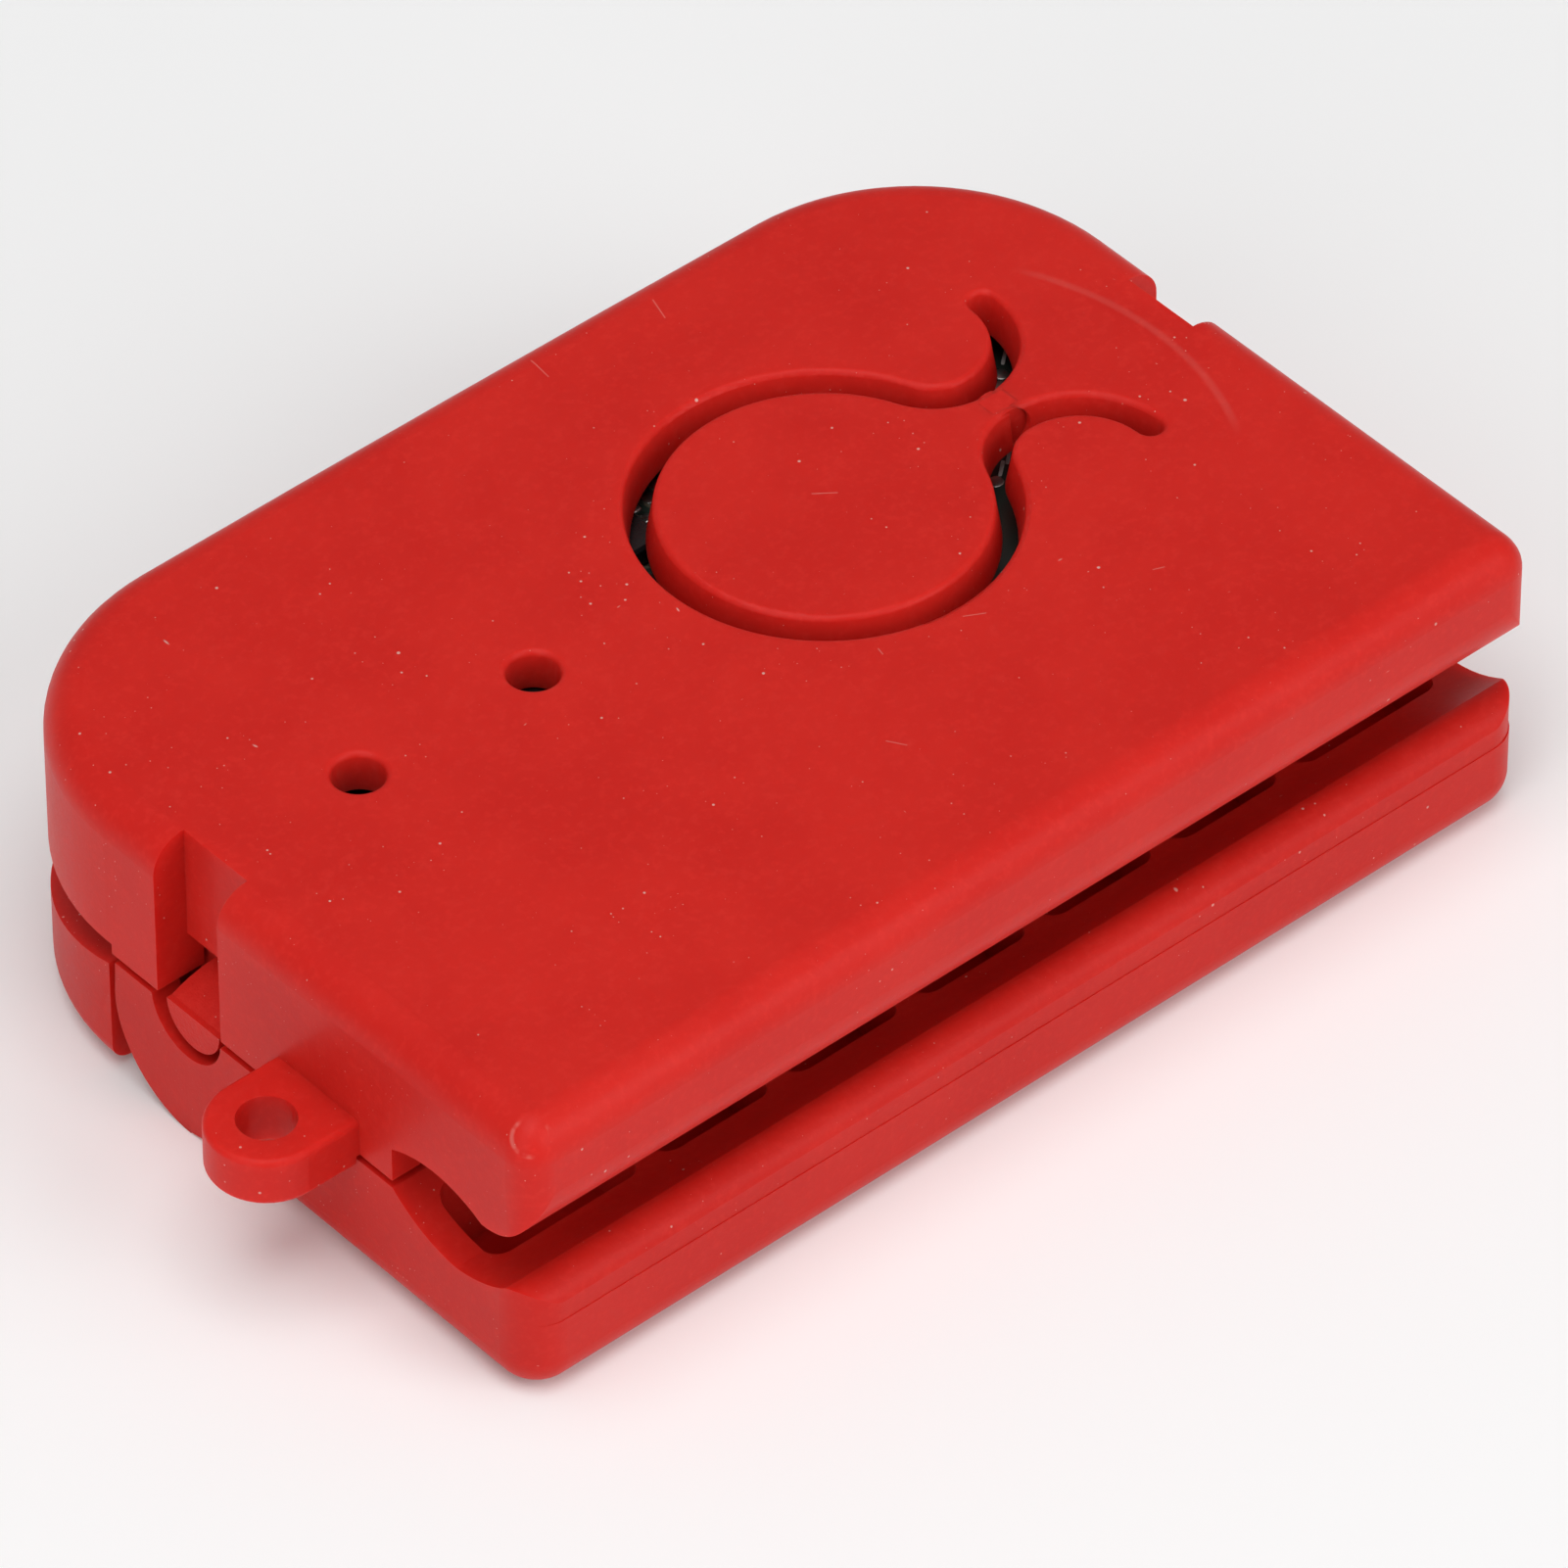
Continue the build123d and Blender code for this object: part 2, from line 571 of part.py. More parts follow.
def jaw_front():
    """The front of the lower jaw, with its bottom edge rounded along the sides and the front."""
    end = chain([
        (0, JAW_LIP_Z - 1.2), (0, 0), (JAW_TAPER_Y, 0), (JAW_TAPER_Y, JAW_TOP), (THROAT_Y, JAW_TOP),
    ])
    body = side_prism(throat_profile() + end, WIDTH)
    slip = Pos(-PARTING_STEP, PARTING_STEP, 0) * plan_prism(0, PARTING_Z, HEIGHT, JAW_CORNER_R)
    plan = plan_prism(0, 0, PARTING_Z, JAW_CORNER_R)
    body = body & (plan + (plan_prism(0, PARTING_Z, HEIGHT, JAW_CORNER_R) & slip))
    base = body.faces().sort_by(Axis.Z)[0]
    return fillet([e for e in base.edges() if e.center().Y < JAW_TAPER_Y - 0.1], JAW_EDGE_R)


def bottom_section(y, r):
    """A tall upright section across the jaw with its two lower corners rounded."""
    section = fillet((Pos(0, 25) * Rectangle(WIDTH, 50)).vertices().group_by(Axis.Y)[0], r)
    return Plane(origin=(0, y, 0), x_dir=(1, 0, 0), z_dir=(0, -1, 0)) * section


def jaw_barrel():
    """The rear of the lower jaw: the side rounding runs out and the underside turns up."""
    arc = CHEEK_ARC_R * math.sqrt(0.5)
    rear = CHEEK_ARC_Y + CHEEK_ARC_R
    edges = Line((JAW_TAPER_Y, 0), (CHEEK_ARC_Y, 0))
    edges += ThreePointArc(
        (CHEEK_ARC_Y, 0), (CHEEK_ARC_Y + arc, CHEEK_ARC_R - arc), (rear, CHEEK_ARC_R)
    )
    edges += chain([
        (rear, CHEEK_ARC_R), (rear - 0.1, JAW_TOP), (JAW_TAPER_Y, JAW_TOP), (JAW_TAPER_Y, 0)
    ])
    runout = loft([bottom_section(JAW_TAPER_Y, JAW_EDGE_R), bottom_section(CHEEK_ARC_Y, 0.1)])
    beyond = span((-WIDTH / 2, WIDTH / 2), (CHEEK_ARC_Y, DEPTH), (0, HEIGHT))
    return side_prism(edges, WIDTH) & (runout + beyond)


def jaw_pockets():
    """Seven moulded pockets in the throat's floor, with ribs between them."""
    walls = [(i - (RIB_COUNT - 1) / 2) * RIB_PITCH for i in range(RIB_COUNT)]
    lows = [-POCKET_END_X] + [x + RIB_T / 2 for x in walls]
    highs = [x - RIB_T / 2 for x in walls] + [POCKET_END_X]
    pockets = Part()
    for low, high in zip(lows, highs):
        pocket = span((low, high), (POCKET_FRONT_Y, POCKET_REAR_Y), (POCKET_FLOOR, HEIGHT))
        pockets += fillet(pocket.edges().filter_by(Axis.Z), 0.9)
    return pockets


def jaw_hollow():
    """The space between the cheeks, with a rear wall that follows the barrel."""
    x = (-WIDTH / 2 + WALL, WIDTH / 2 - WALL)
    inner_r = CHEEK_ARC_R - WALL
    front = span(x, (JAW_HOLLOW_Y, CHEEK_ARC_Y), (WALL, HEIGHT))
    rear = span(x, (CHEEK_ARC_Y, CHEEK_ARC_Y + inner_r), (CHEEK_ARC_R, HEIGHT))
    return front + rear + bar_x(x, CHEEK_ARC_Y, CHEEK_ARC_R, inner_r)


def jaw_ear():
    """The left bearing ear, which holds the trunnion in a full ring."""
    x = (-EAR_X[1], -EAR_X[0])
    foot = span(x, (PIVOT_Y - EAR_R, CHEEK_ARC_Y + CHEEK_ARC_R - WALL), (WALL - 0.3, PIVOT_Z - 1.2))
    ear = bar_x(x, PIVOT_Y, PIVOT_Z, EAR_R) + foot
    stop_x = (-SPRING_X - 0.8, -SPRING_X + 0.8)
    stop = span(stop_x, (PIVOT_Y + 0.9, PIVOT_Y + SPRING_COIL_R - 0.3), (WALL - 0.3, 3.6))
    return ear + stop


def make_lower_jaw():
    jaw = jaw_front() + jaw_barrel() - jaw_hollow() - jaw_pockets()
    cradle = bar_x((-WIDTH / 2 - 1, -WIDTH / 2 + WALL + 0.1), CRADLE_Y, PIVOT_Z, CRADLE_R)
    bore = bar_x((-EAR_X[1] - 0.1, -EAR_X[0] + 0.1), PIVOT_Y, PIVOT_Z, BEARING_R)
    for cut, ear in ((cradle + bore, jaw_ear()), (mirror_x(cradle + bore), mirror_x(jaw_ear()))):
        jaw = jaw + ear - cut
    for x in TAIL_SCREWS_X:
        jaw -= bar_y((BARREL_INNER_Y - 2, DEPTH), x, TAIL_SCREW_Z, SCREW_R + 0.1)
        jaw -= bar_y((BARREL_INNER_Y - 2, BARREL_INNER_Y), x, TAIL_SCREW_Z, HEAD_R + 0.1)
    return jaw


def tail_wedge(drop):
    """Everything above the tail's sloping top, lowered by drop."""
    edges = chain([
        (0, TAIL_TOP_FRONT - drop + TAIL_SLOPE * TAIL_FRONT_Y), (DEPTH + 1, TAIL_TOP_AT_END - drop),
        (DEPTH + 1, 60), (0, 60), (0, TAIL_TOP_FRONT - drop + TAIL_SLOPE * TAIL_FRONT_Y),
    ])
    return side_prism(edges, WIDTH)


def make_tail_grip():
    """The squeeze tail behind the barrel: closed on top, cored out and ribbed below."""
    behind = span((-WIDTH, WIDTH), (TAIL_FRONT_Y, DEPTH + 1), (0, HEIGHT))
    tail = plan_prism(0, TAIL_BOTTOM, HEIGHT) & behind
    base = tail.faces().sort_by(Axis.Z)[0]
    tail = fillet([e for e in base.edges() if e.center().Y > TAIL_FRONT_Y + 0.1], TAIL_EDGE_R)
    core = plan_prism(TAIL_WALL, 0, HEIGHT) & span(
        (-WIDTH, WIDTH), (TAIL_FRONT_Y + TAIL_WALL, DEPTH), (0, HEIGHT)
    )
    tail = tail - (core - tail_wedge(TAIL_WALL))
    for x in (-12.0, 0.0, 12.0):
        rib = span((x - 0.6, x + 0.6), (TAIL_FRONT_Y + 1, DEPTH - 2), (TAIL_BOTTOM + 0.6, HEIGHT))
        tail += rib & plan_prism(1, 0, HEIGHT)
    for x in TAIL_SCREWS_X:
        tail += bar_y((TAIL_FRONT_Y, TAIL_FRONT_Y + 4.5), x, TAIL_SCREW_Z, 1.9)
    web = span((-26.5, 26.5), (CHEEK_ARC_Y, TAIL_FRONT_Y + 0.5), (1.4, TAIL_TOP_FRONT - 0.3))
    tail += web
    barrel = bar_x((-WIDTH, WIDTH), CHEEK_ARC_Y, CHEEK_ARC_R, CHEEK_ARC_R + 0.02)
    front = span((-WIDTH, WIDTH), (0, CHEEK_ARC_Y + CHEEK_ARC_R + 0.02), (CHEEK_ARC_R, HEIGHT))
    tail = tail - tail_wedge(0) - barrel - front
    for x in TAIL_SCREWS_X:
        tail -= bar_y((BARREL_INNER_Y, BARREL_INNER_Y + 5.6), x, TAIL_SCREW_Z, SCREW_R + 0.02)
    return tail.solids().sort_by(SortBy.VOLUME)[-1]


# ---- write every node ---------------------------------------------------------------------------
os.makedirs("parts", exist_ok=True)

save(make_top_shell(), "top_shell")
save(make_push_button(), "push_button")
save(make_inner_tray(), "inner_tray")
save(make_battery_door(), "battery_door")
save(make_trunnion(), "trunnion_left")
save(mirror_x(make_trunnion()), "trunnion_right")
save(make_spring(), "spring_left")
save(mirror_x(make_spring()), "spring_right")
save(make_circuit_board(), "circuit_board")
save(make_coin_cell(), "coin_cell")
save(make_negative_contact(), "negative_contact")
save(make_positive_contact(), "positive_contact")
save(make_switch_base(), "switch_base")
save(make_switch_cover(), "switch_cover")
save(make_switch_plunger(), "switch_plunger")
save(make_beat_led(), "beat_led")
save(make_buzzer_case(), "buzzer_case")
save(make_piezo_disc(), "piezo_disc")
save(make_controller_chip(), "controller_chip")
save(make_crystal_can(), "crystal_can")
save(chips(CAPACITORS, (1.6, 0.8, 0.8)), "capacitors")
save(chips(RESISTORS, (1.6, 0.8, 0.45)), "resistors")
save(make_tray_screws(), "tray_screws")
save(make_board_screws(), "board_screws")
save(make_door_screw(), "door_screw")
save(make_tail_screws(), "tail_screws")
save(make_lower_jaw(), "lower_jaw")
save(make_tail_grip(), "tail_grip")
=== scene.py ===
import math

import bmesh
import bpy
import numpy as np
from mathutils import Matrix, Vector


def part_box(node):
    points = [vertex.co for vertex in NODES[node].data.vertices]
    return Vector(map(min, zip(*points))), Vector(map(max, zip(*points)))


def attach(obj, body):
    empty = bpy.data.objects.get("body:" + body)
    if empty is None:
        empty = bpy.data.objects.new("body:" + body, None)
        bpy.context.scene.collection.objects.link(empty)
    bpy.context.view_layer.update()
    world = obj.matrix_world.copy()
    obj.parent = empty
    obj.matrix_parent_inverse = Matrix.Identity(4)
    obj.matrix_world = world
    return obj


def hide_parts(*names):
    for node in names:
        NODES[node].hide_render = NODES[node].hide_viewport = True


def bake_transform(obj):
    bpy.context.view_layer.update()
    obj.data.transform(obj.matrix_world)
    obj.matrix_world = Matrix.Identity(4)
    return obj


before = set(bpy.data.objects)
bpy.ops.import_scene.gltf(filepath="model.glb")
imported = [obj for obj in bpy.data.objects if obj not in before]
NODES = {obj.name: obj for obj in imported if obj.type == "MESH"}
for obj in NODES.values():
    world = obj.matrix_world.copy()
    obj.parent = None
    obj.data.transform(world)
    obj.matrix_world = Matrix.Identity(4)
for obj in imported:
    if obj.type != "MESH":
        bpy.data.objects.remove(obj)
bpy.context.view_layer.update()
MM = 0.001


# ---- shader arithmetic --------------------------------------------------------------------------
class Value:
    """A shader socket that takes part in sums."""

    def __init__(self, finish, socket):
        self.finish = finish
        self.socket = socket

    def math(self, operation, *others):
        return self.finish.node("Math", {"operation": operation}, (self, *others))

    def __add__(self, other):
        return self.math("ADD", other)

    def __sub__(self, other):
        return self.math("SUBTRACT", other)

    def __rsub__(self, other):
        return self.finish.node("Math", {"operation": "SUBTRACT"}, (other, self))

    def __mul__(self, other):
        return self.math("MULTIPLY", other)

    def __pow__(self, other):
        return self.math("POWER", other)

    __radd__ = __add__
    __rmul__ = __mul__

    def ease(self, low, high):
        """Rise smoothly from 0 at low to 1 at high; low may be the larger of the two."""
        if low > high:
            return 1 - self.ease(high, low)
        return self.finish.node("MapRange", {"interpolation_type": "SMOOTHSTEP"}, (self, low, high))

    def part(self, name):
        """Another output of the node that this value comes from."""
        return Value(self.finish, self.socket.node.outputs[name])


class Finish:
    """A material, its node tree and the surface shader at its end."""

    def __init__(self, name, color, roughness, metallic=0.0, **constants):
        self.name = name
        self.material = bpy.data.materials.new(name)
        self.material.use_nodes = True
        self.tree = self.material.node_tree
        self.shader = self.tree.nodes["Principled BSDF"]
        self.material.diffuse_color = (*color, 1.0)
        self.set("Base Color", (*color, 1.0))
        self.set("Roughness", roughness)
        self.set("Metallic", metallic)
        for key, value in constants.items():
            self.set(key.replace("_", " "), value)
        coordinate = self.node("TexCoord", out="Object")
        self.place = self.node("VectorMath", {"operation": "SCALE"}, {0: coordinate, 3: 1 / MM})

    def feed(self, socket, value):
        if isinstance(value, Value):
            self.tree.links.new(value.socket, socket)
        else:
            socket.default_value = value

    def node(self, kind, settings=None, feeds=(), out=0):
        """Add a node: its settings first, then the value or the link of each socket."""
        made = self.tree.nodes.new("ShaderNode" + kind)
        for key, value in (settings or {}).items():
            setattr(made, key, value)
        pairs = feeds.items() if isinstance(feeds, dict) else enumerate(feeds)
        for key, value in pairs:
            self.feed(made.inputs[key], value)
        return Value(self, made.outputs[out])

    def set(self, socket, value):
        self.feed(self.shader.inputs[socket], value)

    def noise(self, scale, detail=2.0, roughness=0.5, place=None):
        feeds = {"Vector": place or self.place, "Scale": scale, "Detail": detail,
                 "Roughness": roughness}
        return self.node("TexNoise", feeds=feeds)

    def cells(self, scale, place=None):
        return self.node("TexVoronoi", feeds={"Vector": place or self.place, "Scale": scale})

    def mix(self, amount, first, second):
        first, second = [c if isinstance(c, Value) else (*c, 1.0) for c in (first, second)]
        return self.node("Mix", {"data_type": "RGBA"}, {0: amount, 6: first, 7: second}, out=2)

    def specks(self, scale, rare, size, patches, place=None):
        """Round specks: the rare share of cells hold none, and patches shrink the rest."""
        spot = self.cells(scale, place)
        chance = self.node("SeparateColor", feeds=(spot.part("Color"),))
        reach = (chance - rare).math("MAXIMUM", 0.0) * size * patches
        return (spot.part("Distance") - reach).ease(0.02, -0.01) * chance.ease(rare, rare + 0.02)

    def stretched(self, scale):
        return self.node("VectorMath", {"operation": "MULTIPLY"}, {0: self.place, 1: scale})

    def distance(self, point):
        """Millimetres from a point."""
        feeds = {0: self.place, 1: point}
        return self.node("VectorMath", {"operation": "DISTANCE"}, feeds, "Value")

    def across_and_back(self):
        """The place's X and Y, in mm."""
        split = self.node("SeparateXYZ", feeds=(self.place,))
        return split, split.part("Y")

    def stroke(self, start, end, width):
        """A straight scratch: 1 on the line from start to end, 0 beyond its width."""
        start, end = Vector(start), Vector(end)
        along = (end - start) / (end - start).length_squared
        offset = self.node("VectorMath", {"operation": "SUBTRACT"}, {0: self.place, 1: start})
        feeds = {0: offset, 1: along}
        share = self.node("VectorMath", {"operation": "DOT_PRODUCT"}, feeds, "Value")
        share = share.math("MAXIMUM", 0.0).math("MINIMUM", 1.0)
        foot = self.node("VectorMath", {"operation": "SCALE"}, {0: end - start, 3: share})
        gap = self.node("VectorMath", {"operation": "DISTANCE"}, {0: offset, 1: foot}, "Value")
        return gap.ease(width, width * 0.3)

    def relief(self, height, depth_mm):
        """Raise the surface by height times depth, as a bump."""
        feeds = {"Height": height, "Distance": depth_mm * MM, "Strength": 1.0}
        self.set("Normal", self.node("Bump", feeds=feeds))


# ---- finishes -----------------------------------------------------------------------------------
RED = (0.60, 0.019, 0.013)
DEEP_RED = (0.52, 0.012, 0.009)
WARM_RED = (0.70, 0.036, 0.026)
DUST = (0.72, 0.46, 0.40)
FLOW_MIDDLE = (13.7, 1.45, 16.0)
FLOW_R = 15.85
GATE = (-26.0, -19.3, 15.2)
GATE_R = 0.87
SCRATCH_Z = 15.98
# Fine pale marks on the top plate, each from one end to the other, on the plane of the top.
MARKS = [((10.4, 3.5), (11.1, 2.9)), ((9.9, -7.2), (10.8, -7.7)), ((1.8, -11.1), (2.3, -11.9)),
         ((18.4, -10.5), (18.9, -10.7)), ((5.6, -6.3), (5.5, -6.7)), ((6.8, 19.2), (6.6, 17.5)),
         ((13.7, 18.4), (13.3, 17.1))]


def moulded_red(name, dusty=1.0, coarse=1.0, painted_shade=1.0, decorate=None, **constants):
    """Semi-matte red moulded plastic: cloudy colour, spark-eroded grain, dust and short fibres."""
    look = dict(IOR=1.46, Specular_IOR_Level=0.15, Subsurface_Weight=0.5,
                Subsurface_Scale=0.002, Subsurface_Radius=(1.0, 0.06, 0.04))
    skin = Finish(name, RED, 0.4, **(look | constants))
    cloud = skin.noise(0.16, 4.0, 0.6)
    fleck = skin.noise(2.6, 3.0)
    grain = skin.noise(9.0, 2.0)
    # painted_shade scales all three reds down evenly: painted shade for a part that gets less light
    reds = [tuple(c * painted_shade for c in red) for red in (RED, DEEP_RED, WARM_RED)]
    color = skin.mix(cloud.ease(0.3, 0.7) * 0.55, reds[0], reds[1])
    color = skin.mix(fleck.ease(0.45, 0.75) * 0.3, color, reds[2])

    patches = skin.noise(0.22, 2.0).ease(0.40, 0.66) * 0.7 + 0.3
    motes = skin.specks(1.5, 0.5, 0.26 * dusty, patches)
    motes = motes.math("MAXIMUM", skin.specks(3.1, 0.62, 0.3 * dusty, patches))
    curl = skin.node("VectorMath", {"operation": "ADD"},
                     {0: skin.place, 1: skin.noise(0.5, 1.0).part("Color")})
    for stretch in ((0.3, 1.0, 1.0), (1.0, 0.3, 1.0)):
        bent = skin.node("VectorMath", {"operation": "MULTIPLY"}, {0: curl, 1: stretch})
        motes = motes.math("MAXIMUM", skin.specks(0.8, 0.72, 0.2 * dusty, patches, bent) * 0.8)
    scratch = decorate(skin) if decorate else 0.0
    color = skin.mix(motes * 0.7, color, DUST)
    color = skin.mix(scratch * 0.6 if decorate else 0.0, color, DUST)
    skin.set("Base Color", color)
    skin.set("Roughness", grain * 0.14 + fleck * 0.12 + motes * 0.3 + 0.28)
    height = grain * (0.35 * coarse) + fleck * (0.5 * coarse) + cloud * 2.0 + motes * 1.5
    skin.relief(height, 0.012)
    return skin


def lid_marks(skin):
    """Scratches, the ring of the moulding gate and the arc where the flow met round the button."""
    marks = skin.distance(GATE) - GATE_R
    marks = marks.math("ABSOLUTE").ease(0.12, 0.02) * skin.noise(1.1, 2.0).ease(0.48, 0.62) * 0.35
    arc = (skin.distance(FLOW_MIDDLE) - FLOW_R).math("ABSOLUTE").ease(0.30, 0.05) * 0.09
    x, y = skin.across_and_back()
    arc = arc * (y - FLOW_MIDDLE[1]).math("ABSOLUTE").ease(8.0, 6.0) * x.ease(20.0, 24.0)
    marks = marks.math("MAXIMUM", arc)
    for start, end in MARKS:
        line = skin.stroke((*start, SCRATCH_Z), (*end, SCRATCH_Z), 0.05) * 0.45
        marks = marks.math("MAXIMUM", line)
    return marks


def button_marks(skin):
    """One short rub near the middle of the button."""
    return skin.stroke((10.3, 3.5, SCRATCH_Z), (11.2, 2.8, SCRATCH_Z), 0.05) * 0.5


def circuit_board_finish():
    """Dark solder mask over parallel copper tracks, with drilled vias whose holes are painted near
    black as painted shade.
    """
    skin = Finish("board", (0.020, 0.030, 0.025), 0.35)
    x, y = skin.across_and_back()
    bend = skin.cells(0.16).part("Color")
    lane = (x + y * skin.node("SeparateColor", feeds=(bend,)).ease(0.45, 0.55)) * 0.8
    track = (lane.math("FRACT") - 0.5).math("ABSOLUTE").ease(0.30, 0.24)
    track = track * skin.noise(0.12, 1.0).ease(0.42, 0.5)
    via = skin.cells(0.3).part("Distance")
    # The via holes get a dip in the bump and are painted near black: painted shade in the hole.
    via_hole_with_painted_shade = via.ease(0.10, 0.07)
    color = skin.mix(track, (0.018, 0.027, 0.022), (0.030, 0.050, 0.038))
    color = skin.mix(via.ease(0.16, 0.13), color, (0.16, 0.14, 0.10))
    skin.set("Base Color", skin.mix(via_hole_with_painted_shade, color, (0.004, 0.004, 0.004)))
    skin.set("Roughness", skin.noise(7.0, 3.0) * 0.25 + 0.22)
    skin.relief(track * 1.0 - via_hole_with_painted_shade * 1.5, 0.03)
    return skin


def plain(name, color, roughness, metallic=0.0, depth=0.006, scale=6.0, **constants):
    """A small part's finish: fine grain in its colour, roughness and surface."""
    skin = Finish(name, color, roughness, metallic, **constants)
    grain = skin.noise(scale, 3.0)
    cloud = skin.noise(scale * 0.12, 2.0)
    dark = tuple(c * 0.72 for c in color)
    skin.set("Base Color", skin.mix(grain * 0.5 + cloud * 0.5, color, dark))
    skin.set("Roughness", grain * 0.2 + cloud * 0.15 + (roughness - 0.12))
    skin.relief(grain, depth)
    return skin


def drawn_metal(name, color, roughness, stretch):
    """Metal with fine draw lines along one axis, and dull patches."""
    skin = Finish(name, color, roughness, 1.0)
    line = skin.noise(1.0, 3.0, place=skin.stretched(stretch))
    stain = skin.noise(0.7, 4.0, 0.65)
    dull = tuple(c * 0.6 for c in color)
    skin.set("Base Color", skin.mix(stain.ease(0.4, 0.7) * 0.6 + line * 0.2, color, dull))
    skin.set("Roughness", line * 0.25 + stain * 0.2 + (roughness - 0.2))
    skin.relief(line + stain * 0.5, 0.006)
    return skin


# ---- shapes -------------------------------------------------------------------------------------
AROUND = 24
BLOCK_LENGTH = 1.6
BLOCK_WIDTH = 0.8
BOARD_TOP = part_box("circuit_board")[1].z / MM


def superellipse(turns, power):
    """Cosine and sine of the turns, each raised to the power with its sign kept."""
    wave = np.stack([np.cos(turns), np.sin(turns)], axis=-1)
    return np.sign(wave) * np.abs(wave) ** power


def closed_skins(name, rings, finish):
    """Quads between each part's rings, (parts, rings, around, 3) in mm, and a fan at each end.

    The joined skins are one piece that rides on the lid.
    """
    parts, count, around = rings.shape[:3]
    ends = rings[:, (0, -1)].mean(axis=2)
    points = np.concatenate([rings.reshape(parts, -1, 3), ends], axis=1)
    base = np.arange(parts)[:, None, None] * points.shape[1]
    here = np.arange(around)
    after = (here + 1) % around
    row = np.arange(count - 1)[:, None] * around
    quads = np.stack([row + here, row + after, row + around + after, row + around + here], -1)
    low, high = count * around, (count - 1) * around
    floor = np.stack([np.full(around, low), after, here], -1)
    roof = np.stack([np.full(around, low + 1), high + here, high + after], -1)
    fans = np.concatenate([floor, roof])
    faces = [*(quads.reshape(-1, 4) + base).reshape(-1, 4).tolist(),
             *(fans + base).reshape(-1, 3).tolist()]
    mesh = bpy.data.meshes.new(name)
    mesh.from_pydata((points.reshape(-1, 3) * MM).tolist(), [], faces)
    mesh.shade_smooth()
    mesh.materials.append(finish.material)
    piece = bpy.data.objects.new(name, mesh)
    bpy.context.scene.collection.objects.link(piece)
    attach(piece, "lid")


def lozenges(name, places, sizes, finish, power=0.3, turn=0.0):
    """Soft-edged blocks: x and y follow a superellipse that a second one closes towards z."""
    places, sizes = np.broadcast_arrays(np.array(places, float), np.array(sizes, float))
    rise = np.linspace(-0.49 * math.pi, 0.49 * math.pi, 17)
    closing = superellipse(rise, power)
    plan = superellipse(np.linspace(0, 2 * math.pi, AROUND, endpoint=False), power)
    unit = np.empty((rise.size, AROUND, 3))
    unit[..., :2] = plan[None] * closing[:, :1, None]
    unit[..., 2] = closing[:, 1:]
    blocks = unit[None] * sizes[:, None, None] / 2
    cos, sin = math.cos(turn), math.sin(turn)
    blocks[..., :2] = blocks[..., :2] @ np.array([(cos, sin), (-sin, cos)])
    closed_skins(name, blocks + places[:, None, None], finish)


def bars(name, paths, across, sizes, finish, power=1.0):
    """A superellipse section, width along across and thickness square to it, carried on paths."""
    paths = np.array(paths, float)
    along = np.gradient(paths, axis=1)
    along /= np.linalg.norm(along, axis=2, keepdims=True)
    across = np.broadcast_to(np.array(across, float), paths.shape)
    out = np.cross(along, across)
    turns = superellipse(np.linspace(0, 2 * math.pi, AROUND, endpoint=False), power)
    width, thickness = sizes[0] / 2, sizes[1] / 2
    section = across[:, :, None] * turns[:, :1] * width
    section = section + out[:, :, None] * turns[:, 1:] * thickness
    closed_skins(name, paths[:, :, None] + section, finish)


def middle(node):
    """The middle of a node's box, in mm."""
    low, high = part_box(node)
    return np.array((low + high) / 2) / MM


def size(node):
    """The sides of a node's box, in mm."""
    low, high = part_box(node)
    return np.array(high - low) / MM


def block_middles(node):
    """Middles of a node's equal blocks, in mm: a point is a block's low corner when the point one
    block's length and width further on is there too."""
    mesh = NODES[node].data
    points = np.empty(len(mesh.vertices) * 3, np.float32)
    mesh.vertices.foreach_get("co", points)
    points = np.unique(np.round(points.reshape(-1, 3)[:, :2] / MM, 2), axis=0)
    opposite = points + (BLOCK_LENGTH, BLOCK_WIDTH)
    found = (np.abs(opposite[:, None] - points).max(axis=2) < 0.02).any(axis=1)
    return points[found] + (BLOCK_LENGTH / 2, BLOCK_WIDTH / 2)


# ---- board details ------------------------------------------------------------------------------
LEG_ROWS = (-1.35, -0.45, 0.45, 1.35)
LEG_STEPS = 13
LEAD_STEPS = 12
SET_ASKEW = 0.7
PADS = [(25.2, 7.2), (24.6, 6.6), (20.0, 1.8), (7.4, 11.4), (8.2, 11.9), (22.6, -3.4),
        (-12.5, -2.5)]
PRINTED = [(26.1, 8.0), (20.8, 2.3), (21.6, 2.7), (3.1, 5.6), (-9.0, 12.6), (-9.0, 9.1)]


def add_chip_legs(finish):
    """Gull-wing legs: the drop from the case to the board follows a smooth step."""
    x, y, z = middle("controller_chip")
    half = size("controller_chip")[0] / 2
    share = np.linspace(0, 1, LEG_STEPS)
    drop = share ** 2 * (3 - 2 * share)
    height = (z - BOARD_TOP - 0.1) * (1 - drop) + BOARD_TOP + 0.08
    paths = []
    for side in (-1, 1):
        for row in LEG_ROWS:
            reach = x + side * (half - 0.05 + share * 0.95)
            paths.append(np.stack([reach, np.full(LEG_STEPS, y + row), height], -1))
    bars("chip_legs", paths, (0, 1, 0), (0.36, 0.13), finish, 0.35)
    return np.array(paths)[:, -1]


def add_end_caps(name, node, finish):
    """Plated ends wrapped round the blocks, and the solder that climbs them."""
    height = size(node)[2]
    ends = [(x + side * (BLOCK_LENGTH / 2 - 0.12), y, BOARD_TOP + height / 2)
            for x, y in block_middles(node) for side in (-1, 1)]
    lozenges(name, ends, (0.4, 0.86, height + 0.05), finish, 0.22)
    return ends


